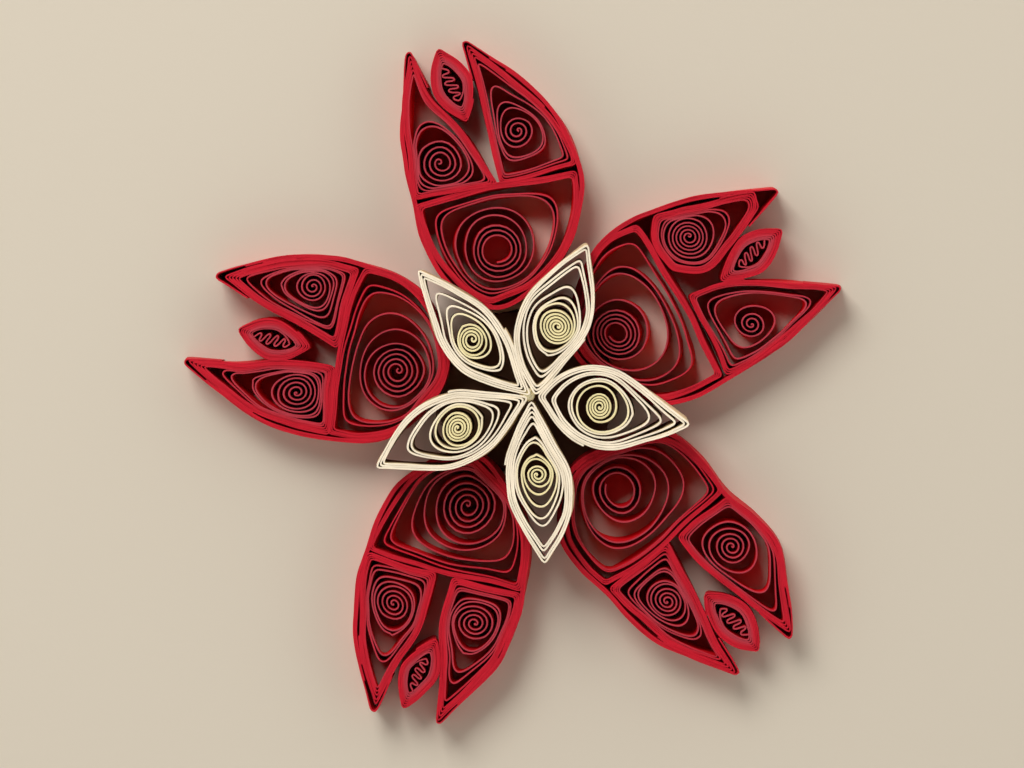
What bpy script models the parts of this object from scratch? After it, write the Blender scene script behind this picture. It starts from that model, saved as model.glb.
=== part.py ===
# Quilled paper flower, lying on its back: five red petals and a cream flower glued on their inner ends.
# Every piece is one paper strip standing on edge. A red petal is a large base coil, two pointed lobe
# coils and a small bud coil in the notch between them, and a wrap strip runs round their outside.
# Lengths are written in millimetres and turned into metres where the strips are made.
import math

import bpy
from mathutils import Vector

MM = 0.001

# Paper
PAPER_THICKNESS = 0.17
RED_STRIP_WIDTH = 3.0
CREAM_STRIP_WIDTH = 3.0
GLUE_GAP = 0.25
TURN_GAP = 0.04
FOLD_LIMIT = 1.6
RING_STEPS = 7
WIDEST_STEP = math.radians(70)
EASE_OUT = 0.3
LOOSENING = 0.3

RED = (0.42, 0.008, 0.026, 1.0)
CREAM = (0.82, 0.75, 0.54, 1.0)
PAPER_ROUGHNESS = 0.8

# Rolled eyes: radius of the hole left by the quilling tool, turns rolled tight round it and their
# pitch, and most turns between that roll and the pressed outline. The spread says how those turns
# share the room: 1 is even, less crowds them to the outline, more keeps them close round the eye.
# The strip's end is glued down at the outline's end corner, counted from its first point.
LOBE_ROLL = {"hole": 0.3, "rings": 2, "pitch": 0.4, "turns": 5}
BUD_ROLL = {"hole": 0.2, "rings": 0, "pitch": 0.3, "turns": 4, "spread": 0.6, "end_corner": 1}
CREAM_ROLL = {"hole": 0.25, "rings": 3, "pitch": 0.32, "turns": 4, "spread": 1.0, "end_corner": 2}
BASE_END_CORNER = 4
LOBE_END_CORNERS = (2, 4)
BUD_LENGTH = 6.0
BUD_HALF_WIDTH = 1.5

# Red petals. Points are in the petal's own frame: the flower's centre is the origin and +Y runs out
# along the heading, an angle in degrees from +X. The rim is the line of the wrap strip. The seam
# between the base coil and the lobes joins the shoulders, and the feet are where the inner sides of
# the lobes stand on it. The seam rises towards the tips between its ends. The hollows are how deep
# the inner side of the left and of the right lobe bows into the lobe, one third and two thirds of the
# way from its foot to its tip, and less than zero where it bulges into the notch.
RED_PETALS = {
    "top": {
        "heading": 103.0,
        "left_tip": (-4.0, 28.9), "left_flank": (-5.6, 23.2), "left_shoulder": (-6.0, 17.5),
        "left_cheek": (-5.6, 12.2), "heel": (-1.6, 7.6), "right_cheek": (5.1, 10.6),
        "right_shoulder": (7.9, 17.2), "right_flank": (6.5, 22.9), "right_tip": (1.5, 29.0),
        "feet": (0.7, 1.4), "seam_rise": 0.1, "hollows": ((-0.3, 0.3), (0.0, 0.0)),
        "lobe_spreads": (1.0, 1.6),
        "base_eye": (-0.2, 12.3), "left_eye": (-3.1, 20.2), "right_eye": (3.6, 21.2),
        "base_roll": {"hole": 1.5, "rings": 1, "pitch": 0.5, "turns": 5, "spread": 0.9},
        "bud_lean": 6.0,
    },
    "right": {
        "heading": 34.0,
        "left_tip": (-3.3, 25.4), "left_flank": (-5.8, 20.4), "left_shoulder": (-7.3, 14.8),
        "left_cheek": (-6.6, 9.8), "heel": (-1.2, 4.9), "right_cheek": (6.0, 7.9),
        "right_shoulder": (7.8, 13.8), "right_flank": (8.0, 19.6), "right_tip": (7.0, 25.3),
        "feet": (-0.8, 0.4), "seam_rise": 0.6, "hollows": ((-0.8, -0.2), (-0.9, -0.8)),
        "lobe_spreads": (1.2, 1.0),
        "base_eye": (-0.2, 8.6), "left_eye": (-3.7, 17.7), "right_eye": (5.2, 18.0),
        "base_roll": {"hole": 1.5, "rings": 1, "pitch": 0.5, "turns": 5, "spread": 0.7},
        "bud_lean": 5.0,
    },
    "lower_right": {
        "heading": -48.0,
        "left_tip": (-2.9, 28.3), "left_flank": (-6.9, 22.4), "left_shoulder": (-6.6, 16.4),
        "left_cheek": (-6.2, 9.6), "heel": (1.6, 6.4), "right_cheek": (6.3, 10.6),
        "right_shoulder": (6.3, 15.7), "right_flank": (6.0, 21.6), "right_tip": (3.2, 27.6),
        "feet": (-1.1, -0.1), "seam_rise": 0.2, "hollows": ((-0.5, -0.3), (0.0, 0.1)),
        "lobe_spreads": (1.6, 1.0),
        "base_eye": (0.1, 10.4), "left_eye": (-3.8, 19.9), "right_eye": (3.2, 19.7),
        "base_roll": {"hole": 1.4, "rings": 1, "pitch": 0.6, "turns": 5, "spread": 0.9},
        "bud_lean": 3.0,
    },
    "lower_left": {
        "heading": 248.0,
        "left_tip": (-3.2, 27.5), "left_flank": (-5.7, 21.2), "left_shoulder": (-5.4, 15.2),
        "left_cheek": (-3.4, 9.7), "heel": (2.4, 6.1), "right_cheek": (7.0, 10.0),
        "right_shoulder": (7.9, 16.8), "right_flank": (6.3, 23.6), "right_tip": (2.8, 28.5),
        "feet": (0.4, 1.9), "seam_rise": 0.3, "hollows": ((-0.4, -0.1), (-0.6, -0.1)),
        "lobe_spreads": (1.0, 1.2),
        "base_eye": (1.7, 10.3), "left_eye": (-2.7, 19.0), "right_eye": (4.3, 20.0),
        "base_roll": {"hole": 0.5, "rings": 3, "pitch": 0.6, "turns": 5, "spread": 0.8},
        "bud_lean": -3.0,
    },
    "left": {
        "heading": 168.0,
        "left_tip": (-3.6, 28.2), "left_flank": (-6.5, 21.9), "left_shoulder": (-6.9, 15.6),
        "left_cheek": (-5.4, 10.2), "heel": (0.4, 7.2), "right_cheek": (6.2, 10.4),
        "right_shoulder": (7.6, 15.6), "right_flank": (7.2, 21.1), "right_tip": (4.6, 26.8),
        "feet": (-1.3, 0.5), "seam_rise": 0.9, "hollows": ((-0.5, 0.0), (0.0, -0.2)),
        "lobe_spreads": (1.0, 1.0),
        "base_eye": (-0.4, 11.2), "left_eye": (-3.9, 19.0), "right_eye": (4.9, 19.4),
        "base_roll": {"hole": 0.6, "rings": 4, "pitch": 0.5, "turns": 4, "spread": 0.9},
        "bud_lean": -2.0,
    },
}

# Cream petals: heading, length to the tip, and for the left and the right side its greatest
# half-width and how far out along the petal that lies
CREAM_ROOT = 0.55
CREAM_PINCH = 1.15
CREAM_PETALS = {
    "upper_right": {
        "heading": 70.8, "tip": 13.1, "left": (3.2, 6.1), "right": (2.4, 7.2), "eye": (-0.1, 6.3),
    },
    "upper_left": {
        "heading": 131.9, "tip": 13.6, "left": (2.8, 7.0), "right": (2.0, 7.0), "eye": (-0.5, 6.8),
    },
    "lower_left": {
        "heading": 203.4, "tip": 13.7, "left": (2.8, 6.6), "right": (3.1, 7.4), "eye": (0.2, 6.4),
    },
    "lower": {
        "heading": 274.5, "tip": 13.5, "left": (2.6, 7.8), "right": (2.7, 6.6), "eye": (0.1, 6.4),
    },
    "lower_right": {
        "heading": 351.3, "tip": 12.6, "left": (3.1, 5.0), "right": (3.4, 5.9), "eye": (0.2, 5.6),
    },
}

LAYER = PAPER_THICKNESS + GLUE_GAP
NOTCH_ROOM = 1.15 * LAYER


def curve_through(points, steps):
    """Points on a smooth curve through the given ones, with steps intervals from each to the next."""
    ends = [2 * points[0] - points[1], *points, 2 * points[-1] - points[-2]]
    line = []
    for i in range(len(points) - 1):
        before, start, stop, after = ends[i:i + 4]
        for step in range(steps):
            t = step / steps
            line.append(
                0.5 * (
                    2 * start
                    + (stop - before) * t
                    + (2 * before - 5 * start + 4 * stop - after) * t ** 2
                    + (3 * start - before - 3 * stop + after) * t ** 3
                )
            )
    line.append(points[-1])
    return line


def bowed(start, stop, rise, steps):
    """A side from start to stop that bows to its left by rise."""
    chord = stop - start
    left = Vector((-chord.y, chord.x)).normalized()
    return [
        start + chord * (i / steps) + left * rise * math.sin(math.pi * i / steps)
        for i in range(steps + 1)
    ]


def bent(start, stop, rises):
    """A side from start to stop with evenly spaced points that lie to its left by the rises."""
    chord = stop - start
    left = normal_of(start, stop)
    parts = len(rises) + 1
    return [start, *(start + chord * (i / parts) + left * rise for i, rise in enumerate(rises, 1)), stop]


def normal_of(start, stop):
    along = (stop - start).normalized()
    return Vector((-along.y, along.x))


def shifted(line, distance, limit=FOLD_LIMIT):
    """The line moved to its left by distance, with its corners kept, but drawn out to limit at most."""
    normals = [normal_of(a, b) for a, b in zip(line, line[1:])]
    moved = []
    for i, point in enumerate(line):
        before = normals[max(i - 1, 0)]
        after = normals[min(i, len(normals) - 1)]
        middle = (before + after).normalized()
        moved.append(point + middle * distance * min(1 / max(middle.dot(after), 0.01), limit))
    return moved


def crossing(a, b, c, d):
    """Where the straight line through a and b meets the one through c and d."""
    first, second = b - a, d - c
    return a + first * ((c - a).cross(second) / first.cross(second))


def along_seam(seam, x):
    """The point of the seam at a distance x from the petal's axis."""
    for a, b in zip(seam, seam[1:]):
        if b.x >= x:
            break
    return a.lerp(b, (x - a.x) / (b.x - a.x))


def fanned(corners, eye):
    """The outline with points added wherever a side spans a wide angle as seen from the eye."""
    fan = []
    for a, b in zip(corners, corners[1:] + corners[:1]):
        parts = math.ceil((a - eye).angle(b - eye) / WIDEST_STEP)
        fan += [a.lerp(b, i / parts) for i in range(parts)]
    return fan


def coil(outline, eye, roll, clockwise=False):
    """The path of one strip: rolled round the eye, then in loose turns out to the pressed outline.

    The outline's corners are listed counter-clockwise.
    """
    end = int(roll["end_corner"])
    corners = outline[end:] + outline[:end]
    if clockwise:
        corners = [corners[0]] + corners[:0:-1]
    stations = fanned(corners, eye)
    turn = -1 if clockwise else 1
    radius = roll["hole"] + (roll["rings"] + LOOSENING) * roll["pitch"]
    first = (corners[0] - eye).angle_signed(Vector((1, 0)))

    # For each direction: how far round it is, how far out the outline stands there, and the least
    # step from one turn to the next
    rays = []
    for i, point in enumerate(stations):
        out = point - eye
        angle = out.angle_signed(Vector((1, 0)))
        sides = normal_of(stations[i - 1], point), normal_of(point, stations[(i + 1) % len(stations)])
        slopes = [abs(out.normalized().dot(side)) for side in sides]
        hollow = sides[0].cross(sides[1]) * turn < 0
        slope = max(slopes) if hollow else max(min(slopes), 0.2)
        phase = ((angle - first) * turn / math.tau) % 1.0
        rays.append((phase, out, (PAPER_THICKNESS + TURN_GAP) / slope, point in corners))
    turns = min([roll["turns"]] + [int((out.length - radius) / layer) for _, out, layer, _ in rays])

    path = []
    for i in range(roll["rings"] * RING_STEPS):
        share = i / RING_STEPS
        angle = first - turn * math.tau * (roll["rings"] - share)
        reach = roll["hole"] + roll["pitch"] * share
        path.append(eye + Vector((math.cos(angle), math.sin(angle))) * reach)
    for lap in range(turns):
        last = lap == turns - 1
        for phase, out, layer, is_corner in rays:
            at = lap + phase
            if not last:
                spare = out.length - radius - turns * layer
                depth = (turns - at) * layer + spare * (1 - (at / (turns - 1)) ** roll["spread"])
            elif is_corner:
                depth = layer * max(0.0, 1 - phase / EASE_OUT)
            else:
                continue
            path.append(eye + out * (1 - depth / out.length))
    return path + [corners[0]]


def base_cell(inner_rim, seam):
    """Outline of the base coil: inside the rim, below the seam."""
    floor = shifted(seam, -LAYER / 2)
    left = crossing(inner_rim[0], inner_rim[1], floor[0], floor[1])
    right = crossing(inner_rim[-1], inner_rim[-2], floor[-1], floor[-2])
    return [left, *inner_rim[1:-1], right, *floor[-2:0:-1]]


def lobe_cells(left_rim, right_rim, seam, feet, hollows):
    """Outlines of the left and the right lobe: inside the rim, above the seam, open to the notch."""
    floor = shifted(seam, LAYER / 2)
    left_foot = along_seam(floor, feet[0])
    right_foot = along_seam(floor, feet[1])
    left_corner = crossing(left_rim[-1], left_rim[-2], floor[0], floor[1])
    right_corner = crossing(right_rim[0], right_rim[1], floor[-1], floor[-2])
    left_inner = bent(left_foot, left_rim[0], hollows[0])
    right_inner = bent(right_rim[-1], right_foot, hollows[1][::-1])
    left_floor = [p for p in floor[1:] if p.x < left_foot.x - LAYER]
    right_floor = [p for p in floor[:-1] if p.x > right_foot.x + LAYER]
    return (
        left_rim[:-1] + [left_corner] + left_floor + left_inner[:-1],
        [*right_inner[-1:], *right_floor, right_corner, *right_rim[1:], *right_inner[1:-1]],
        left_inner,
        right_inner[::-1],
    )


def leaf(length, left, right, pinch, steps):
    """Outline of a coil pinched at both ends, from its root at the origin to its tip up +Y.

    Each side is given by its half-width and how far up the leaf it is widest.
    """
    sides = []
    for half_width, peak in (left, right):
        skew = math.log(0.5) / math.log(peak / length)
        shares = [(i / steps) ** (1 / skew) for i in range(1, steps)]
        bulge = [math.sin(math.pi * i / steps) ** pinch * half_width for i in range(1, steps)]
        sides.append(list(zip(bulge, shares)))
    left_side = [Vector((-x, length * s)) for x, s in sides[0]]
    right_side = [Vector((x, length * s)) for x, s in sides[1]]
    return [Vector((0, 0)), *right_side, Vector((0, length)), *left_side[::-1]]


def x_at(side, y):
    """How far across a lobe's inner side stands at height y, or None past its end."""
    for a, b in zip(side, side[1:]):
        if a.y <= y <= b.y:
            return a.x + (b.x - a.x) * (y - a.y) / (b.y - a.y)
    return None


def seated_bud(bud, lean, left_side, right_side):
    """The bud's outline slid down into the notch until it rests on the inner sides of the lobes."""
    tilt = math.radians(lean)
    leaning = [
        Vector((p.x * math.cos(tilt) - p.y * math.sin(tilt), p.x * math.sin(tilt) + p.y * math.cos(tilt)))
        for p in bud
    ]
    halfway = [a.lerp(b, 0.5) for a, b in zip(leaning, leaning[1:] + leaning[:1])]
    slide = 0.05
    low = max(left_side[0].y, right_side[0].y) + LAYER
    highest = min(left_side[-1].y, right_side[-1].y)
    while low < highest:
        beside = [(p.x, x_at(left_side, p.y + low), x_at(right_side, p.y + low)) for p in leaning + halfway]
        left_room = min(x - left for x, left, _ in beside if left is not None)
        right_room = min(right - x for x, _, right in beside if right is not None)
        if left_room + right_room > 2 * NOTCH_ROOM:
            break
        low += slide
    return [p + Vector(((right_room - left_room) / 2, low)) for p in leaning]


def band(path):
    """Plan of a strip standing on edge along the path: its two faces, half the paper to each side."""
    half = PAPER_THICKNESS / 2
    return shifted(path, half) + shifted(path, -half)[::-1]


def paper(name, colour):
    material = bpy.data.materials.new(name)
    material.use_nodes = True
    shader = material.node_tree.nodes["Principled BSDF"]
    shader.inputs["Base Color"].default_value = colour
    shader.inputs["Roughness"].default_value = PAPER_ROUGHNESS
    material.diffuse_color = colour
    return material


def strip_object(name, path, width, material, collection):
    """One paper strip: the flat plan of its edge, extruded to the strip's width."""
    plan = bpy.data.curves.new(name, "CURVE")
    plan.dimensions = "2D"
    plan.fill_mode = "BOTH"
    plan.extrude = width / 2 * MM
    spline = plan.splines.new("POLY")
    corners = band(path)
    spline.points.add(len(corners) - 1)
    for point, corner in zip(spline.points, corners):
        point.co = (corner.x * MM, corner.y * MM, 0, 1)
    spline.use_cyclic_u = True
    plan.materials.append(material)
    strip = bpy.data.objects.new(name, plan)
    collection.objects.link(strip)
    return strip


def red_petal(size):
    """The five strips of one red petal, as paths in the petal's frame."""
    order = ("left_tip", "left_flank", "left_shoulder", "left_cheek", "heel",
             "right_cheek", "right_shoulder", "right_flank", "right_tip")
    steps = 2
    rim = curve_through([Vector(size[name]) for name in order], steps)
    inner = shifted(rim, LAYER)
    shoulders = order.index("left_shoulder") * steps, order.index("right_shoulder") * steps
    seam = bowed(rim[shoulders[0]], rim[shoulders[1]], size["seam_rise"], 4)
    base = base_cell(inner[shoulders[0]:shoulders[1] + 1], seam)
    left, right, left_side, right_side = lobe_cells(
        inner[:shoulders[0] + 1], inner[shoulders[1]:], seam, size["feet"], size["hollows"])
    bud_side = (BUD_HALF_WIDTH, BUD_LENGTH / 2)
    bud = leaf(BUD_LENGTH, bud_side, bud_side, 1, 4)
    bud = seated_bud(bud, size["bud_lean"], left_side, right_side)
    middle = sum(bud, Vector((0, 0))) / len(bud)
    base_roll = dict(size["base_roll"], end_corner=BASE_END_CORNER)
    left_roll, right_roll = [
        dict(LOBE_ROLL, spread=spread, end_corner=corner)
        for spread, corner in zip(size["lobe_spreads"], LOBE_END_CORNERS)
    ]
    return {
        "wrap": rim,
        "base_coil": coil(base, Vector(size["base_eye"]), base_roll),
        "left_lobe": coil(left, Vector(size["left_eye"]), left_roll),
        "right_lobe": coil(right, Vector(size["right_eye"]), right_roll, clockwise=True),
        "bud": coil(bud, middle, BUD_ROLL),
    }


def cream_petal(size):
    """The strip of one cream petal, as a path in the petal's frame."""
    root = Vector((0, CREAM_ROOT))
    left, right = [(width, out - CREAM_ROOT) for width, out in (size["left"], size["right"])]
    outline = [p + root for p in leaf(size["tip"] - CREAM_ROOT, left, right, CREAM_PINCH, 5)]
    return coil(outline, Vector(size["eye"]), CREAM_ROLL)


def turned(point, heading):
    """A point of a petal's frame in the flower's frame."""
    angle = math.radians(heading - 90)
    return Vector((
        point.x * math.cos(angle) - point.y * math.sin(angle),
        point.x * math.sin(angle) + point.y * math.cos(angle),
    ))


def build():
    for old in list(bpy.data.objects):
        bpy.data.objects.remove(old)
    flower = bpy.data.collections.new("quilled_paper_flower")
    bpy.context.scene.collection.children.link(flower)
    red = paper("red_paper", RED)
    cream = paper("cream_paper", CREAM)

    strips = []
    for petal, size in RED_PETALS.items():
        for piece, path in red_petal(size).items():
            strips.append((f"{petal}_petal_{piece}", path, size["heading"], 0.0, RED_STRIP_WIDTH, red))
    level = RED_STRIP_WIDTH + GLUE_GAP
    for petal, size in CREAM_PETALS.items():
        path = cream_petal(size)
        strips.append((f"cream_{petal}_petal", path, size["heading"], level, CREAM_STRIP_WIDTH, cream))

    # The origin is the middle of the flower's outline, on the surface that it lies on
    spread = [turned(p, heading) for _, path, heading, *_ in strips for p in band(path)]
    middle_x = (min(p.x for p in spread) + max(p.x for p in spread)) / 2
    middle_y = (min(p.y for p in spread) + max(p.y for p in spread)) / 2
    for name, path, heading, level, width, material in strips:
        strip = strip_object(name, path, width, material, flower)
        strip.location = (-middle_x * MM, -middle_y * MM, (level + width / 2) * MM)
        strip.rotation_euler.z = math.radians(heading - 90)


build()
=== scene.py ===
import math

import bmesh
import bpy
import numpy as np
from mathutils import Matrix, Vector


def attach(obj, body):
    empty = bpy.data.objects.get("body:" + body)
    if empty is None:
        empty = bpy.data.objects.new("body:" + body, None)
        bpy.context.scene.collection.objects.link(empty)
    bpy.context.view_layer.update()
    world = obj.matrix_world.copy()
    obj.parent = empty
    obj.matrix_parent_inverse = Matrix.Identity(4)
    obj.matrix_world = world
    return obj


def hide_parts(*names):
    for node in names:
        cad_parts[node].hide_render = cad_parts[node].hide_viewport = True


# A quilled flower: paper strips on edge, wound afresh inside the outlines of the frame's solids

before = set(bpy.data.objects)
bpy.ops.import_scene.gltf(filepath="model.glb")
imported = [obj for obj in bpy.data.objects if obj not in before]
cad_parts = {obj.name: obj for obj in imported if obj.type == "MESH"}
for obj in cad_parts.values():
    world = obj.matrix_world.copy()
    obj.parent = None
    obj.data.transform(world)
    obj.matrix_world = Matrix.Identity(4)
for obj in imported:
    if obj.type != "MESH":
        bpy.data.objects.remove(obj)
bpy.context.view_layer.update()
mm = 0.001
stripWidth = 3.0  # the paper, the rolls and the glue are given in mm
print("frame loaded,", len(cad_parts), "strips")


# Nodes and sums of sockets, for shaders and for Geometry Nodes

class Wire:
    # an output socket that can be used in sums, such as 1 - mask
    def __init__(self, bench, socket):
        self.bench, self.socket = bench, socket

    def other(self, name):
        return Wire(self.bench, self.socket.node.outputs[name])

    def __add__(self, value):
        return self.bench.maths("ADD", self, value)

    def __radd__(self, value):
        return self.bench.maths("ADD", value, self)

    def __sub__(self, value):
        return self.bench.maths("SUBTRACT", self, value)

    def __rsub__(self, value):
        return self.bench.maths("SUBTRACT", value, self)

    def __mul__(self, value):
        return self.bench.maths("MULTIPLY", self, value)

    def __rmul__(self, value):
        return self.bench.maths("MULTIPLY", value, self)

    def __truediv__(self, value):
        return self.bench.maths("DIVIDE", self, value)

    def __rtruediv__(self, value):
        return self.bench.maths("DIVIDE", value, self)


class Bench:
    # one node tree, and the one way in which nodes are put in it
    def __init__(self, tree):
        self.tree = tree
        tree.nodes.clear()

    def node(self, kind, settings=None, inputs=None, output=0):
        made = self.tree.nodes.new(kind)
        for name, value in (settings or {}).items():
            setattr(made, name, value)
        for name, value in (inputs or {}).items():
            if isinstance(value, Wire):
                self.tree.links.new(value.socket, made.inputs[name])
            else:
                made.inputs[name].default_value = value
        return Wire(self, made.outputs[output]) if made.outputs else None

    def maths(self, operation, *values):
        return self.node("ShaderNodeMath", {"operation": operation}, dict(enumerate(values)))

    def vectors(self, operation, *values):
        return self.node("ShaderNodeVectorMath", {"operation": operation}, dict(enumerate(values)))

    def stretched(self, vector, factor):
        return self.node("ShaderNodeVectorMath", {"operation": "SCALE"}, {0: vector, "Scale": factor})

    def eased(self, value, low, high):
        inputs = {"Value": value, "From Min": low, "From Max": high}
        return self.node("ShaderNodeMapRange", {"interpolation_type": "SMOOTHSTEP"}, inputs)

    def point(self, x=0.0, y=0.0, z=0.0):
        return self.node("ShaderNodeCombineXYZ", None, {"X": x, "Y": y, "Z": z})

    def noise(self, vector, scale, detail=2.0, roughness=0.5):
        inputs = {"Vector": vector, "Scale": scale, "Detail": detail, "Roughness": roughness}
        return self.node("ShaderNodeTexNoise", None, inputs)

    def blended(self, share, first, second, how="MIX"):
        settings = {"data_type": "RGBA", "blend_type": how}
        return self.node("ShaderNodeMix", settings, {0: share, 6: first, 7: second}, 2)


# Paper: low in a well the wall takes painted light, a brighter red on the red paper and a painted shade
# of dark brown on the cream; the cut edges are the strip's rims, outside and in the eye, where their
# tone is painted too

redPaper = {
    "face": (0.50, 0.004, 0.012, 1), "deep": (0.86, 0.002, 0.010, 1), "cutEdge": (0.52, 0.005, 0.019, 1),
    "cutEye": (0.42, 0.036, 0.054, 1), "fibre": (0.62, 0.02, 0.05, 1), "roughness": 0.62, "shine": 0.22,
    "eyeFrom": 0.4, "eyeTo": 0.85,
}
creamPaper = {
    "face": (0.78, 0.64, 0.38, 1), "deep": (0.11, 0.045, 0.012, 1), "cutEdge": (0.93, 0.81, 0.62, 1),
    "cutEye": (0.84, 0.73, 0.38, 1), "fibre": (0.86, 0.76, 0.52, 1), "roughness": 0.66, "shine": 0.25,
    "eyeFrom": 0.7, "eyeTo": 0.92,
}
paperGrain = {
    "fibreLength": 0.9, "fibreWidth": 0.07, "lintFrom": 0.56, "lintTo": 0.74, "lintShare": 0.1,
    "cloud": 1.3, "cloudShade": 0.26, "turnLength": 6.0, "turnShade": 0.54, "plainShade": 0.60,
    "cutDepth": 0.05, "cutFray": 0.05, "wellFrom": 0.45, "wellTo": 1.0, "bump": 0.012,
}


def paperMaterial(name, look):
    material = bpy.data.materials.new(name)
    material.use_nodes = True
    bench = Bench(material.node_tree)
    along, across, inner, inside = (
        bench.node("ShaderNodeAttribute", {"attribute_name": "strip" + name}, None, "Fac")
        for name in ("Along", "Across", "Inner", "Inside")
    )
    place = bench.node("ShaderNodeTexCoord", None, None, "Object")

    # Fibres lie mostly along the strip, and the sheet is a little cloudy
    length, width = paperGrain["fibreLength"], paperGrain["fibreWidth"]
    height = across * stripWidth
    fibres = bench.noise(bench.point(along / length, height / width), 1.0, 3.0, 0.6)
    cloud = bench.noise(place, 1 / (paperGrain["cloud"] * mm), 3.0, 0.6)
    lint = bench.eased(fibres, paperGrain["lintFrom"], paperGrain["lintTo"])

    # Walls that face into the coil take a painted colour towards the table: painted light on the red
    # paper, painted shade on the cream
    inWell = bench.maths("MAXIMUM", bench.eased(inner, 0.0, 0.25), bench.eased(inside, 0.6, 0.9))
    paintedWellShare = inWell * (1 - bench.eased(across, paperGrain["wellFrom"], paperGrain["wellTo"]))
    face = bench.blended(paintedWellShare, look["face"], look["deep"])
    face = bench.blended(lint * paperGrain["lintShare"], face, look["fibre"])

    # The cut edges are a little frayed; in the tight eye their tone is painted shade, dimmer red and
    # darker, yellower cream that also stands in for bounce light
    fromEdge = (0.5 - bench.maths("ABSOLUTE", across - 0.5)) * stripWidth
    frayed = fromEdge + (fibres - 0.5) * paperGrain["cutFray"]
    cut = 1 - bench.eased(frayed, 0.0, paperGrain["cutDepth"])
    paintedEyeShare = bench.eased(inner, look["eyeFrom"], look["eyeTo"])
    edge = bench.blended(paintedEyeShare, look["cutEdge"], look["cutEye"])
    colour = bench.blended(cut, face, edge)

    # Every turn is a shade of its own
    turn = bench.noise(bench.point(along / paperGrain["turnLength"], 0.7), 1.0, 2.0, 0.7)
    shade = paperGrain["plainShade"] + cloud * paperGrain["cloudShade"] + turn * paperGrain["turnShade"]
    colour = bench.blended(1.0, colour, bench.point(shade, shade, shade), "MULTIPLY")

    bump = bench.node("ShaderNodeBump", None, {
        "Strength": 0.6, "Distance": paperGrain["bump"] * mm, "Height": fibres + cloud * 0.5})
    shader = bench.node("ShaderNodeBsdfPrincipled", None, {
        "Base Color": colour,
        "Roughness": look["roughness"] + (fibres - 0.5) * 0.3,
        "Specular IOR Level": look["shine"],
        "Normal": bump,
    })
    bench.node("ShaderNodeOutputMaterial", None, {"Surface": shader})
    return material


redStock = paperMaterial("red_paper_stock", redPaper)
creamStock = paperMaterial("cream_paper_stock", creamPaper)
print("paper made")


# Paths of the strips, read from the frame

def midlineOf(node):
    # the strip's middle line, as points halfway between the two faces of the node's top edge
    shell = bmesh.new()
    shell.from_mesh(node.data)
    bmesh.ops.remove_doubles(shell, verts=shell.verts, dist=1e-7)
    shell.normal_update()
    top = max(v.co.z for v in shell.verts)
    nextTo = {}
    for edge in shell.edges:
        flat = [abs(face.normal.z) > 0.5 for face in edge.link_faces]
        if len(flat) == 2 and flat[0] != flat[1] and all(top - v.co.z < 1e-6 for v in edge.verts):
            a, b = edge.verts
            nextTo.setdefault(a.index, []).append(b.index)
            nextTo.setdefault(b.index, []).append(a.index)
    places = [v.co.xy.copy() for v in shell.verts]
    shell.free()
    loop = [min(nextTo)]
    loop.append(nextTo[loop[0]][0])
    while len(loop) < len(nextTo):
        a, b = nextTo[loop[-1]]
        loop.append(a if a != loop[-2] else b)
    rim = [places[i] for i in loop]
    half = len(rim) // 2

    def widest(start):
        return max((rim[(start + 1 + k) % len(rim)] - rim[start - k]).length for k in range(half))

    start = min(range(half), key=widest)
    line = [(rim[(start + 1 + k) % len(rim)] + rim[start - k]) / 2 for k in range(half)]
    return line, top


ringSteps = 7  # points on each turn of a rolled eye in the frame


def reach(points):
    middle = sum(points, Vector((0, 0))) / len(points)
    return max((p - middle).length for p in points)


def bendAt(before, here, after):
    a, b = here - before, after - here
    return a.angle(b, 0.0)


def smoothed(points, step, closed=False, fold=math.radians(50)):
    # points on a smooth curve through the given ones, which stays sharp where they fold
    count = len(points)
    legs = count if closed else count - 1
    bends = []
    for i, here in enumerate(points):
        if not closed and i in (0, count - 1):
            bends.append(math.pi)
        else:
            bends.append(bendAt(points[i - 1], here, points[(i + 1) % count]))
    line = []
    for i in range(legs):
        here, there = points[i], points[(i + 1) % count]
        chord = there - here
        way = chord.normalized()
        leave = arrive = way
        if bends[i] < fold:
            back = here - points[i - 1]
            leave = (back.normalized() * chord.length + way * back.length).normalized()
        if bends[(i + 1) % count] < fold:
            on = points[(i + 2) % count] - there
            arrive = (way * on.length + on.normalized() * chord.length).normalized()
        steps = max(2, math.ceil(chord.length / step))
        for k in range(steps):
            t = k / steps
            line.append(
                here * (2 * t ** 3 - 3 * t ** 2 + 1) + there * (3 * t ** 2 - 2 * t ** 3)
                + leave * chord.length * (t ** 3 - 2 * t ** 2 + t)
                + arrive * chord.length * (t ** 3 - t ** 2)
            )
    if not closed:
        line.append(points[-1].copy())
    return line


def turnOf(line):
    sweep = sum((b - a).cross(c - b) for a, b, c in zip(line, line[1:], line[2:]))
    return 1 if sweep > 0 else -1


def eyeAndOutline(line):
    # the middle of the rolled eye, the way it turns, and the corners of the outermost turn
    if reach(line[:ringSteps]) > reach(line[-ringSteps:]):
        line = line[::-1]
    turn = turnOf(line)
    eye = sum(line[:ringSteps], Vector((0, 0))) / ringSteps
    corners = [line[-1]]
    swept = 0.0
    for here, before in zip(line[::-1], line[-2::-1]):
        swept += abs((here - eye).angle_signed(before - eye))
        if swept > math.tau - 0.05:
            break
        corners.append(before)
    return eye, turn, [corners[0]] + corners[:0:-1]


# Coils are wound afresh between the eye and the outline of their node in the frame. A roll has tight,
# loose and pressed turns. More spread keeps the loose ones near the eye, more open starts them wider,
# round blunts their corners, and strokes are the folds of a strip that begins in a slit.

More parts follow.
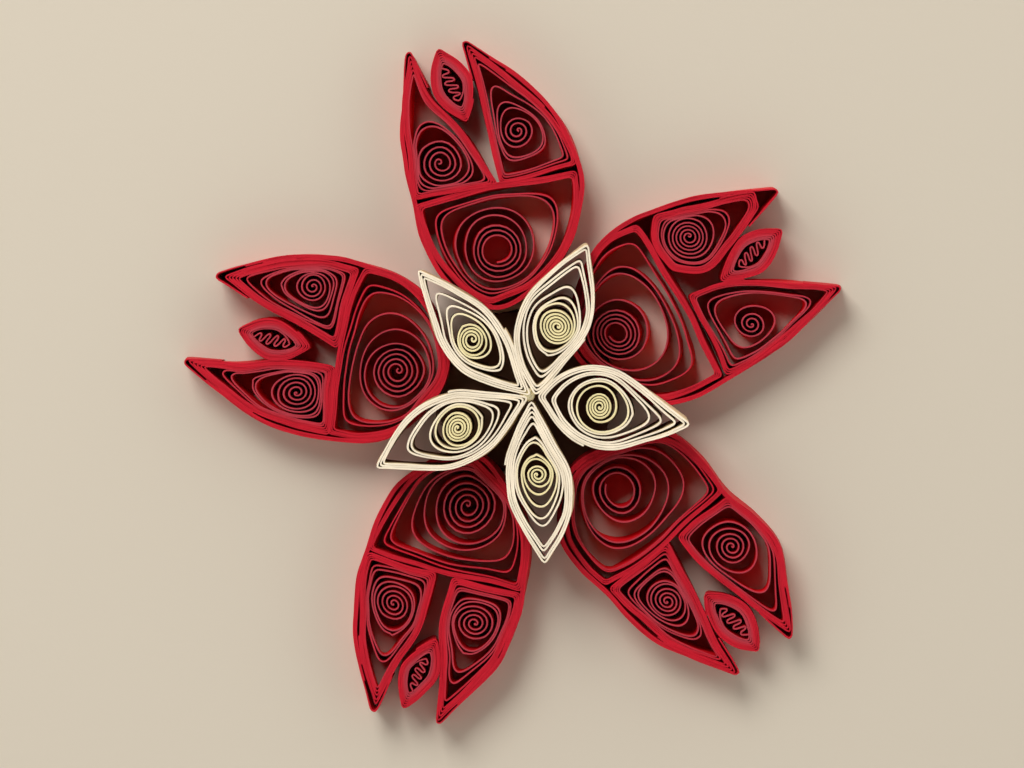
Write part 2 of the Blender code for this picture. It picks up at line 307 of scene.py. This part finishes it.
stripPlan = {
    "growth": 0.12, "step": 0.28, "easeOut": 0.3, "slopeFloor": 0.3, "swingOut": 0.7, "solidLayer": 0.21,
    "wander": 0.06, "bunching": 0.4, "bunchPace": 0.43, "pressedFrom": 1.2, "furthest": 1.4,
    "samples": 720, "eyeSteps": 20, "tailHole": 0.6, "tailReach": 1.5, "tailSpin": 1.5, "tailSteps": 10,
    "leastStep": 0.06, "relaxRounds": 2,
}
lobeRoll = {
    "pitch": 0.12, "hole": 0.2, "tight": 3, "tightPitch": 0.40, "loose": 5, "pressed": 3, "spread": 1.0,
    "round": 0.6, "open": 0.0, "strokes": 0,
}
budRoll = {
    "pitch": 0.12, "hole": 0.1, "tight": 0, "tightPitch": 0.2, "loose": 1, "pressed": 6, "spread": 1.0,
    "round": 0.1, "open": 0.0, "strokes": 9,
}
baseRoll = {
    "pitch": 0.12, "hole": 1.1, "tight": 3, "tightPitch": 0.32, "loose": 5, "pressed": 3, "spread": 0.9,
    "round": 0.9, "open": 0.0, "strokes": 0,
}
creamRoll = {
    "pitch": 0.165, "hole": 0.2, "tight": 4, "tightPitch": 0.25, "loose": 6, "pressed": 2, "spread": 1.3,
    "round": 0.7, "open": 0.7, "strokes": 0,
}
ownRolls = {
    "top_petal_base_coil": {"hole": 1.1, "tight": 3, "tightPitch": 0.4},
    "right_petal_base_coil": {"hole": 0.7, "tight": 4, "tightPitch": 0.35, "spread": 0.8},
    "lower_right_petal_base_coil": {"hole": 1.2, "tight": 2, "tightPitch": 0.5, "spread": 0.8},
    "lower_left_petal_base_coil": {"hole": 0.5, "tight": 4, "tightPitch": 0.5},
    "left_petal_base_coil": {"hole": 0.5, "tight": 4, "tightPitch": 0.42},
    "top_petal_left_lobe": {"hole": 0.5, "tight": 3, "tightPitch": 0.46, "loose": 4},
    "top_petal_right_lobe": {"hole": 0.3, "tight": 2, "tightPitch": 0.42, "round": 0.5},
    "left_petal_right_lobe": {"tight": 2, "loose": 8, "round": 0.5},
    "left_petal_left_lobe": {"tight": 3, "loose": 7, "round": 0.45},
    "right_petal_left_lobe": {"hole": 0.3, "tight": 4, "tightPitch": 0.34},
    "right_petal_right_lobe": {"tight": 2, "tightPitch": 0.42, "loose": 4, "spread": 0.8},
    "lower_right_petal_left_lobe": {"tight": 3, "tightPitch": 0.42, "loose": 4, "spread": 0.8},
    "lower_right_petal_right_lobe": {"tight": 3, "tightPitch": 0.36, "loose": 7, "round": 0.5},
    "lower_left_petal_left_lobe": {"loose": 6, "round": 0.5},
    "lower_left_petal_right_lobe": {"loose": 6, "round": 0.5},
    "cream_upper_left_petal": {"hole": 0.42, "tight": 2, "loose": 6, "open": 0.4},
    "cream_lower_petal": {"hole": 0.3, "tight": 2, "loose": 7, "spread": 1.0, "round": 0.5, "open": 0.5},
}
slit = {"share": 0.6, "length": 0.46, "width": 0.42, "slant": 0.5, "taper": 0.6, "step": 0.05}


def strokesIn(eye, corners, strokes):
    # the strip's beginning, folded to and fro in the narrow slit of a squeezed coil
    far = max(corners, key=lambda corner: (corner - eye).length)
    axis = far - eye
    across = Vector((-axis.y, axis.x)).normalized() * slit["width"] * mm
    slant = axis.normalized() * across.length * slit["slant"]
    way = []
    for i in range(strokes + 1):
        share = 2 * i / strokes - 1
        sideways = (1 - slit["taper"] * share * share) * (1 if i % 2 else -1)
        way.append(eye + axis * slit["length"] * share + across * sideways + slant * sideways)
    return smoothed(way, slit["step"] * mm, fold=math.pi)


def rimFrom(eye, turn, corners):
    # the outline as the eye sees it: where it starts, shares of a turn, distances and slopes,
    # and how far each point still lies under the strip's glued end
    outline = smoothed(corners, stripPlan["step"] * mm, closed=True)
    first = (outline[0] - eye).angle_signed(Vector((1, 0)))
    phases, radii, slopes = [], [], []
    for i, point in enumerate(outline):
        out = point - eye
        sides = [point - outline[i - 1], outline[(i + 1) % len(outline)] - point]
        facing = [abs(out.normalized().dot(Vector((-s.y, s.x)).normalized())) for s in sides]
        angle = out.angle_signed(Vector((1, 0)))
        phases.append(((angle - first) * turn / math.tau) % 1.0 if i else 0.0)
        radii.append(out.length)
        slopes.append(max(min(facing), stripPlan["slopeFloor"]))
    phases, radii, slopes = np.maximum.accumulate(phases), np.array(radii), np.array(slopes)

    # The solid's outermost turn starts one layer lower, under its own glued end
    nextAngle = (corners[1] - eye).angle_signed(Vector((1, 0)))
    nextPhase = ((nextAngle - first) * turn / math.tau) % 1.0
    rise = np.clip(1 - phases / stripPlan["easeOut"], 0, 1)
    atNext = max(1 - nextPhase / stripPlan["easeOut"], 0)
    lower = np.where(phases < nextPhase, atNext * phases / nextPhase, rise)
    radii = radii + (lower * stripPlan["solidLayer"] + stripPlan["growth"]) * mm / slopes
    return first, phases, radii, slopes, rise


def looseAndPressed(roll, rim, seed):
    # the distance from the eye along each turn between the tight roll and the outline
    phases, radii, slopes, rise = rim
    grid = np.arange(stripPlan["samples"]) / stripPlan["samples"]
    waves = np.fft.rfft(np.interp(grid, phases, radii, period=1)) / len(grid)
    orders = np.arange(len(waves))
    waves = waves * np.where(orders == 0, 1, 2)
    pitch = roll["pitch"] * mm
    start = (roll["hole"] + roll["tight"] * roll["tightPitch"]) * mm
    laps = roll["loose"] + roll["pressed"]
    belly = radii.min() - laps * pitch
    looseStart = start + max(belly - start, 0) * roll["open"]
    rng = np.random.default_rng(seed)
    swell, drift = rng.normal(size=3), rng.normal(size=3)
    offset, bunchPhase = rng.random(3), rng.random()
    turns = []
    for lap in range(laps):
        at = lap + phases
        bunch = np.sin(math.tau * (at * stripPlan["bunchPace"] + bunchPhase))
        bunch = stripPlan["bunching"] * bunch * np.clip(at, 0, 1)
        share = np.clip((at + bunch) / roll["loose"], 0, stripPlan["furthest"])
        sway = sum(swell[k] / (k + 1) * np.sin(math.tau * ((k + 1) * phases + offset[k]) + at * drift[k])
                   for k in range(3))

        # A loose turn has a rounder outline, which is the outline without its finer waves
        blur = roll["round"] * np.clip(1 - share, 0, 1) ** 2
        spin = np.exp(2j * np.pi * np.outer(phases, orders) - 0.5 * np.outer(blur, orders) ** 2)
        softer = (spin * waves).real.sum(axis=1)
        least = softer * slit["share"] if roll["strokes"] else looseStart
        free = least + (softer - least) * share ** roll["spread"]
        unpressed = np.clip(stripPlan["pressedFrom"] - share, 0, 1)
        free = free * (1 + stripPlan["wander"] * sway * np.clip(share, 0, 1) * unpressed)
        if not roll["strokes"]:
            leaving = np.clip(at / stripPlan["swingOut"], 0, 1)
            free = start + (free - start) * leaving * leaving * (3 - 2 * leaving)
        free = np.where(share > stripPlan["pressedFrom"], radii, free)
        inner = start + phases * pitch if lap == 0 else turns[-1] + pitch / slopes
        under = laps - 1 - lap + rise
        turns.append(np.minimum(np.maximum(free, inner), radii - under * pitch / slopes))
    return turns


def wound(line, roll, seed):
    # one strip: tight round the eye, then in loose turns out to the turns pressed against the outline
    eye, turn, corners = eyeAndOutline(line)
    first, *rim = rimFrom(eye, turn, corners)
    phases, radii = rim[:2]
    turns = looseAndPressed(roll, rim, seed)
    radius = np.append(np.concatenate(turns), radii[0])
    at = np.append((np.arange(len(turns))[:, None] + phases[None, :]).ravel(), len(turns))

    # The tight roll comes first, from the slit of the tool outwards
    steps = roll["tight"] * stripPlan["eyeSteps"]
    back = np.arange(steps) / stripPlan["eyeSteps"] - roll["tight"]
    angles = first + turn * math.tau * np.append(back, at)
    radius = np.append((roll["hole"] + (back + roll["tight"]) * roll["tightPitch"]) * mm, radius)
    path = [eye + Vector((math.cos(a), math.sin(a))) * float(r) for a, r in zip(angles, radius)]
    if roll["strokes"]:
        return strokesIn(eye, corners, roll["strokes"]) + path
    if roll["hole"] > stripPlan["tailHole"]:
        return path
    begin = path[0] - eye
    tail = []
    for i in range(stripPlan["tailSteps"]):
        t = stripPlan["tailReach"] * (1 - i / stripPlan["tailSteps"])
        spun = begin.copy()
        spun.rotate(Matrix.Rotation(-turn * stripPlan["tailSpin"] * t, 2))
        tail.append(eye + spun * (1 - t))
    return tail + path


# The wrap strip goes round the whole petal, and its ends are folded round the tips of the lobes

wrap = {
    "layers": 3, "pitch": 0.12, "setBack": 0.03, "tipRadius": 0.3, "turnedIn": 2.6, "besideLobe": 0.22,
    "overhang": 0.25, "hookSteps": 10,
}


def foldedTip(end, heading, lobe):
    # the end of the wrap, bent round the lobe's tip and laid along its inner side
    count = len(lobe)
    near = sorted(range(count), key=lambda i: (lobe[i] - end).length)[:3]
    top = max(near, key=lambda i: bendAt(lobe[i - 1], lobe[i], lobe[(i + 1) % count]))
    middle = sum(lobe, Vector((0, 0))) / count
    step = min((1, -1), key=lambda s: (lobe[(top + s) % count] - lobe[top]).normalized().dot(-heading))
    at, togo = lobe[top], wrap["turnedIn"] * mm
    while togo > 0:
        top = (top + step) % count
        inward = lobe[top] - at
        at, togo = at + inward * min(togo / inward.length, 1), togo - inward.length
    outside = Vector((-inward.y, inward.x)).normalized()
    outside = outside if outside.dot(at - middle) > 0 else -outside
    left = Vector((-heading.y, heading.x))
    turn = 1 if left.dot(middle - end) > 0 else -1
    radius = wrap["tipRadius"] * mm
    centre = end + heading * wrap["overhang"] * mm + left * turn * radius
    target = at + outside * wrap["besideLobe"] * mm
    hook = []
    for i in range(wrap["hookSteps"] * 2):
        spoke = -left * turn * radius
        spoke.rotate(Matrix.Rotation(turn * math.pi * i / wrap["hookSteps"], 2))
        on = Vector((-spoke.y, spoke.x)) * turn
        hook.append(centre + spoke)
        if i and on.angle(target - hook[-1]) < math.pi / wrap["hookSteps"]:
            break
    return hook + [target]


def wrapLayers(line, leftLobe, rightLobe):
    # the wrap strip with its folded ends, and the shorter layers that lie inside it
    outer = smoothed(line, stripPlan["step"] * mm)
    centre = sum(outer, Vector((0, 0))) / len(outer)
    layers = []
    for layer in range(1, wrap["layers"]):
        skip = round(len(outer) * wrap["setBack"] * layer)
        inset = []
        for a, b, c in zip(outer, outer[1:], outer[2:]):
            side = Vector((-(c - a).y, (c - a).x)).normalized()
            side = side if side.dot(centre - b) > 0 else -side
            inset.append(b + side * wrap["pitch"] * mm * layer)
        layers.append(inset[skip:len(inset) - skip])
    ends = []
    for run in (outer[::-1], outer):
        heading = (run[-1] - run[-2]).normalized()
        nearest = min((leftLobe, rightLobe), key=lambda lobe: min((p - run[-1]).length for p in lobe))
        ends.append(foldedTip(run[-1], heading, nearest))
    return [ends[0][::-1] + outer + ends[1]] + layers


def thinned(points, least):
    # the line without points that crowd each other
    kept = [points[0]]
    for point in points[1:-1]:
        if (point - kept[-1]).length > least:
            kept.append(point)
    return kept + [points[-1]]


def relaxed(points, rounds):
    # folds with the small radius that paper keeps
    for _ in range(rounds):
        points = [points[0]] + [
            b * 0.5 + (a + c) * 0.25 for a, b, c in zip(points, points[1:], points[2:])
        ] + [points[-1]]
    return points


# Geometry Nodes lay a paper strip on edge along each path

stripSizes = {
    "Paper Thickness": 0.125, "Strip Width": stripWidth, "Edge Softness": 0.015, "Height Drift": 0.10,
    "Ripple": 0.05, "Ripple Length": 5.0, "Lean": 0.55, "Lean Reach": 7.0,
}
creamThickness = 0.15  # the cream paper is stouter
# Pace along the strip, step for each seed and row of the noise
rippleRows = {"rise": (1.0, 3.7, 0.3), "tip": (1.4, 5.1, 8.6), "belly": (2.5, 2.3, 4.2)}


def stripTree():
    tree = bpy.data.node_groups.new("paper_strip_on_edge", "GeometryNodeTree")
    tree.is_modifier = True
    bench = Bench(tree)
    ids = {}
    rows = [("Geometry", "NodeSocketGeometry")]
    rows += [(name, "NodeSocketFloat") for name in (*stripSizes, "Seed", "Coiled", "Inward")]
    rows.append(("Paper", "NodeSocketMaterial"))
    for name, kind in rows:
        ids[name] = tree.interface.new_socket(name=name, in_out="INPUT", socket_type=kind).identifier
    tree.interface.new_socket(name="Geometry", in_out="OUTPUT", socket_type="NodeSocketGeometry")
    given = bench.node("NodeGroupInput")
    thickness, width = given.other("Paper Thickness"), given.other("Strip Width")
    seed = given.other("Seed")

    line = bench.node("GeometryNodeSetCurveNormal", {"mode": "Z_UP"}, {"Curve": given})
    parameter = bench.node("GeometryNodeSplineParameter")
    side = bench.node("GeometryNodeInputNormal")

    def stored(geometry, name, value, kind="FLOAT"):
        settings = {"data_type": kind, "domain": "POINT"}
        return bench.node("GeometryNodeStoreNamedAttribute", settings, {
            "Geometry": geometry, "Name": name, "Value": value})

    line = stored(line, "stripAlong", parameter.other("Length") / mm)
    line = stored(line, "stripInner", (1 - parameter.other("Factor")) * given.other("Coiled"))
    line = stored(line, "stripSide", side, "FLOAT_VECTOR")
    section = bench.node("GeometryNodeCurvePrimitiveQuadrilateral", {"mode": "RECTANGLE"}, {
        "Width": thickness, "Height": width})
    section = bench.node("GeometryNodeFilletCurve", {"mode": "POLY"}, {
        "Curve": section, "Count": 1, "Radius": given.other("Edge Softness")})
    place = bench.node("GeometryNodeInputPosition")
    face = bench.node("ShaderNodeSeparateXYZ", None, {"Vector": place}, "X")
    section = stored(section, "stripInside", 0.5 - face / thickness * given.other("Inward"))
    strip = bench.node("GeometryNodeCurveToMesh", None, {
        "Curve": line, "Profile Curve": section, "Fill Caps": True})

    # The line runs at half the strip's width, so the height gives the share across the paper
    height = bench.node("ShaderNodeSeparateXYZ", None, {"Vector": place}, "Z")
    lowest = {"Geometry": strip, "Attribute": height}
    base = bench.node("GeometryNodeAttributeStatistic", {"data_type": "FLOAT"}, lowest, "Min")
    strip = stored(strip, "stripAcross", (height - base) / width)

    def read(name, kind="FLOAT"):
        return bench.node("GeometryNodeInputNamedAttribute", {"data_type": kind}, {"Name": name})

    along, across = read("stripAlong"), read("stripAcross")
    slow = along / given.other("Ripple Length")
    rise, tip, belly = (
        bench.noise(bench.point(slow * pace, seed * drawn, row), 1.0, 2.0) - 0.5
        for pace, drawn, row in rippleRows.values()
    )
    sideways = (tip * across + belly * across * (1 - across) * 2.5) * given.other("Ripple") * 2
    spread = bench.stretched(place, 1 / given.other("Lean Reach"))
    drift = bench.vectors("ADD", spread, bench.point(seed * 7.3))
    field = bench.noise(drift, 1.0, 1.0).other("Color")
    lean = bench.vectors("MULTIPLY", bench.vectors("SUBTRACT", field, (0.5, 0.5, 0.5)), (2.0, 2.0, 0.0))
    offset = bench.vectors(
        "ADD",
        bench.point(0.0, 0.0, rise * across * given.other("Height Drift") * 2),
        bench.stretched(read("stripSide", "FLOAT_VECTOR"), sideways),
    )
    offset = bench.vectors("ADD", offset, bench.stretched(lean, given.other("Lean") * across))
    strip = bench.node("GeometryNodeSetPosition", None, {"Geometry": strip, "Offset": offset})
    smooth = bench.maths("LESS_THAN", bench.node("GeometryNodeInputMeshEdgeAngle"), math.radians(30))
    for domain, shading in (("FACE", True), ("EDGE", smooth)):
        strip = bench.node("GeometryNodeSetShadeSmooth", {"domain": domain}, {
            "Geometry": strip, "Shade Smooth": shading})
    strip = bench.node("GeometryNodeRealizeInstances", None, {"Geometry": strip})
    strip = bench.node("GeometryNodeSetMaterial", None, {
        "Geometry": strip, "Material": given.other("Paper")})
    bench.node("NodeGroupOutput", None, {"Geometry": strip})
    return tree, ids


stripNodes, stripInputs = stripTree()


def layStrip(name, layers, bottom, stock, seed):
    line = bpy.data.curves.new(name + "_line", "CURVE")
    line.dimensions = "3D"
    middle = bottom + stripWidth * mm / 2
    for points in layers:
        spline = line.splines.new("POLY")
        spline.points.add(len(points) - 1)
        for slot, point in zip(spline.points, points):
            slot.co = (point.x, point.y, middle, 1)
    guide = bpy.data.objects.new(name + "_guide", line)
    bpy.context.scene.collection.objects.link(guide)
    layer = guide.modifiers.new("strip", "NODES")
    layer.node_group = stripNodes
    for size, value in stripSizes.items():
        layer[stripInputs[size]] = value if size == "Ripple Length" else value * mm
    if stock == creamStock:
        layer[stripInputs["Paper Thickness"]] = creamThickness * mm
    layer[stripInputs["Seed"]] = float(seed)
    layer[stripInputs["Coiled"]] = 0.0 if len(layers) > 1 else 1.0
    layer[stripInputs["Inward"]] = float(turnOf(layers[0]))
    layer[stripInputs["Paper"]] = stock
    evaluated = guide.evaluated_get(bpy.context.evaluated_depsgraph_get())
    mesh = bpy.data.meshes.new_from_object(evaluated)
    mesh.name = name
    bpy.data.objects.remove(guide)
    strip = bpy.data.objects.new(name, mesh)
    bpy.context.scene.collection.objects.link(strip)
    return strip


rolls = {
    "wrap": None, "base_coil": baseRoll, "left_lobe": lobeRoll, "right_lobe": lobeRoll, "bud": budRoll,
}
triangles = 0
lines = {name: midlineOf(node) for name, node in sorted(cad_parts.items())}
for seed, (name, (line, top)) in enumerate(lines.items()):
    isCream = name.startswith("cream")
    kind = next((k for k in rolls if name.endswith(k)), None)
    if kind == "wrap":
        petal = name.removesuffix("wrap")
        lobes = [eyeAndOutline(lines[petal + lobe][0])[2] for lobe in ("left_lobe", "right_lobe")]
        layers = wrapLayers(line, *lobes)
    else:
        roll = dict(creamRoll if isCream else rolls[kind], **ownRolls.get(name, {}))
        layers = [wound(line, roll, seed)]
    layers = [thinned(points, stripPlan["leastStep"] * mm) for points in layers]
    layers = [relaxed(points, stripPlan["relaxRounds"]) for points in layers]
    bottom = top - stripWidth * mm
    strip = layStrip(name + "_paper", layers, bottom, creamStock if isCream else redStock, seed)
    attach(strip, "root")
    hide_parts(name)
    triangles += sum(len(p.vertices) - 2 for p in strip.data.polygons)
print("strips laid,", triangles, "triangles")


# Dried glue holds the roots of the cream petals; a thin dark brown sheet on the card under the flower is
# painted shade

glues = {
    "cream_root_glue": {
        "place": (1.30, -0.74, 5.6), "size": (0.62, 0.55, 0.57), "lumps": 0.35, "lumpSize": 0.5,
        "colours": ((0.80, 0.72, 0.40, 1), (0.88, 0.80, 0.56, 1)),
    },
    # painted shade: a dark brown sheet laid on the card under the flower's heels
    "red_heel_glue": {
        "place": (1.1, -0.9, 0.0), "size": (7.2, 7.0, 0.3), "lumps": 0.22, "lumpSize": 0.45,
        "colours": ((0.085, 0.034, 0.014, 1), (0.16, 0.075, 0.035, 1)),
    },
}


def glueTree():
    tree = bpy.data.node_groups.new("glue_dab", "GeometryNodeTree")
    tree.is_modifier = True
    bench = Bench(tree)
    ids = {}
    rows = {"Geometry": "Geometry", "Size": "Vector", "Lumps": "Float", "Lump Size": "Float"}
    for name, kind in {**rows, "Paste": "Material"}.items():
        kind = "NodeSocket" + kind
        ids[name] = tree.interface.new_socket(name=name, in_out="INPUT", socket_type=kind).identifier
    tree.interface.new_socket(name="Geometry", in_out="OUTPUT", socket_type="NodeSocketGeometry")
    given = bench.node("NodeGroupInput")
    dab = bench.node("GeometryNodeMeshIcoSphere", None, {"Radius": 1.0, "Subdivisions": 5})
    place = bench.node("GeometryNodeInputPosition")
    size = given.other("Size")
    lumps = bench.noise(bench.stretched(place, 1 / given.other("Lump Size")), 1.0, 2.0) - 0.5
    offset = bench.stretched(place, lumps * given.other("Lumps") * 2)
    dab = bench.node("GeometryNodeSetPosition", None, {"Geometry": dab, "Offset": offset})
    dab = bench.node("GeometryNodeTransform", None, {"Geometry": dab, "Scale": size})
    height = bench.node("ShaderNodeSeparateXYZ", None, {"Vector": place}, "Z")
    upTo = bench.point(0.0, 0.0, bench.maths("MAXIMUM", 0.0, height * -1))  # which makes it flat below
    dab = bench.node("GeometryNodeSetPosition", None, {"Geometry": dab, "Offset": upTo})
    dab = bench.node("GeometryNodeSetShadeSmooth", {"domain": "FACE"}, {
        "Geometry": dab, "Shade Smooth": True})
    dab = bench.node("GeometryNodeRealizeInstances", None, {"Geometry": dab})
    dab = bench.node("GeometryNodeSetMaterial", None, {
        "Geometry": dab, "Material": given.other("Paste")})
    bench.node("NodeGroupOutput", None, {"Geometry": dab})
    return tree, ids


glueNodes, glueInputs = glueTree()


def layGlue(name, look):
    paste = bpy.data.materials.new(name)
    paste.use_nodes = True
    bench = Bench(paste.node_tree)
    cloud = bench.noise(bench.node("ShaderNodeTexCoord", None, None, "Object"), 1500.0, 3.0)
    shader = bench.node("ShaderNodeBsdfPrincipled", None, {
        "Base Color": bench.blended(cloud, *look["colours"]),
        "Roughness": 0.45 + cloud * 0.2, "Specular IOR Level": 0.35})
    bench.node("ShaderNodeOutputMaterial", None, {"Surface": shader})
    seat = bpy.data.objects.new(name + "_seat", bpy.data.meshes.new(name + "_seat"))
    bpy.context.scene.collection.objects.link(seat)
    layer = seat.modifiers.new("glue", "NODES")
    layer.node_group = glueNodes
    layer[glueInputs["Size"]] = [side * mm for side in look["size"]]
    layer[glueInputs["Lumps"]] = look["lumps"]
    layer[glueInputs["Lump Size"]] = look["lumpSize"]
    layer[glueInputs["Paste"]] = paste
    mesh = bpy.data.meshes.new_from_object(seat.evaluated_get(bpy.context.evaluated_depsgraph_get()))
    bpy.data.objects.remove(seat)
    mesh.transform(Matrix.Translation([side * mm for side in look["place"]]))
    dab = bpy.data.objects.new(name, mesh)
    bpy.context.scene.collection.objects.link(dab)
    return dab


for name, look in glues.items():
    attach(layGlue(name, look), "root")
print("glue set")


# Card, light and camera

card = {"colour": (0.64, 0.57, 0.46, 1), "size": 1.2, "roughness": 0.85, "grain": 900.0, "tooth": 0.05}
bpy.ops.mesh.primitive_plane_add(size=card["size"])
floor = bpy.context.object
floor.name = "card_floor"
cardStock = bpy.data.materials.new("pale_card")
cardStock.use_nodes = True
bench = Bench(cardStock.node_tree)
grain = bench.noise(bench.node("ShaderNodeTexCoord", None, None, "Object"), card["grain"], 4.0, 0.6)
bump = bench.node("ShaderNodeBump", None, {
    "Strength": 0.3, "Distance": card["tooth"] * mm, "Height": grain})
shader = bench.node("ShaderNodeBsdfPrincipled", None, {
    "Base Color": card["colour"], "Roughness": card["roughness"], "Normal": bump})
bench.node("ShaderNodeOutputMaterial", None, {"Surface": shader})
floor.data.materials.append(cardStock)

lamp = {"place": (-0.24, 0.46, 0.46), "size": 0.34, "power": 3.7}
sky = {
    "colour": (1.0, 0.97, 0.93, 1), "low": 1.5, "zenith": 0.0, "fadeFrom": 0.42, "fadeTo": 0.78,
    "seen": 0.75,
}
light = bpy.data.lights.new("window", "AREA")
light.size = lamp["size"]
light.energy = lamp["power"]
lampObject = bpy.data.objects.new("window", light)
lampObject.location = lamp["place"]
lampObject.rotation_euler = (-Vector(lamp["place"])).to_track_quat("-Z", "Y").to_euler()
bpy.context.scene.collection.objects.link(lampObject)
world = bpy.data.worlds.new("studio")
world.use_nodes = True
bench = Bench(world.node_tree)
upward = bench.node("ShaderNodeSeparateXYZ", None, {"Vector": bench.node("ShaderNodeTexCoord")}, "Z")
high = bench.eased(upward, sky["fadeFrom"], sky["fadeTo"])
strength = sky["low"] + high * (sky["zenith"] - sky["low"])
seen = bench.node("ShaderNodeLightPath", None, None, "Is Camera Ray")
strength = strength + seen * (sky["seen"] - strength)
glow = bench.node("ShaderNodeBackground", None, {"Color": sky["colour"], "Strength": strength})
bench.node("ShaderNodeOutputWorld", None, {"Surface": glow})
bpy.context.scene.world = world

view = {"distance": 0.34, "frameHeight": 0.0625, "offset": (0.008, 0.013)}
camera = bpy.data.cameras.new("camera")
camera.sensor_width = 36
camera.lens = 36 * view["distance"] / (view["frameHeight"] * 4 / 3)
camera.clip_start = 0.01
cameraObject = bpy.data.objects.new("camera", camera)
target = Vector((0, 0, 0.003))
away = Vector((*view["offset"], view["distance"]))
cameraObject.location = target + away
cameraObject.rotation_euler = (-math.asin(away.y / away.length), math.atan2(away.x, away.z), 0)
bpy.context.scene.collection.objects.link(cameraObject)
bpy.context.scene.camera = cameraObject
bpy.context.scene.view_settings.view_transform = "Standard"
print("card, light and camera set")
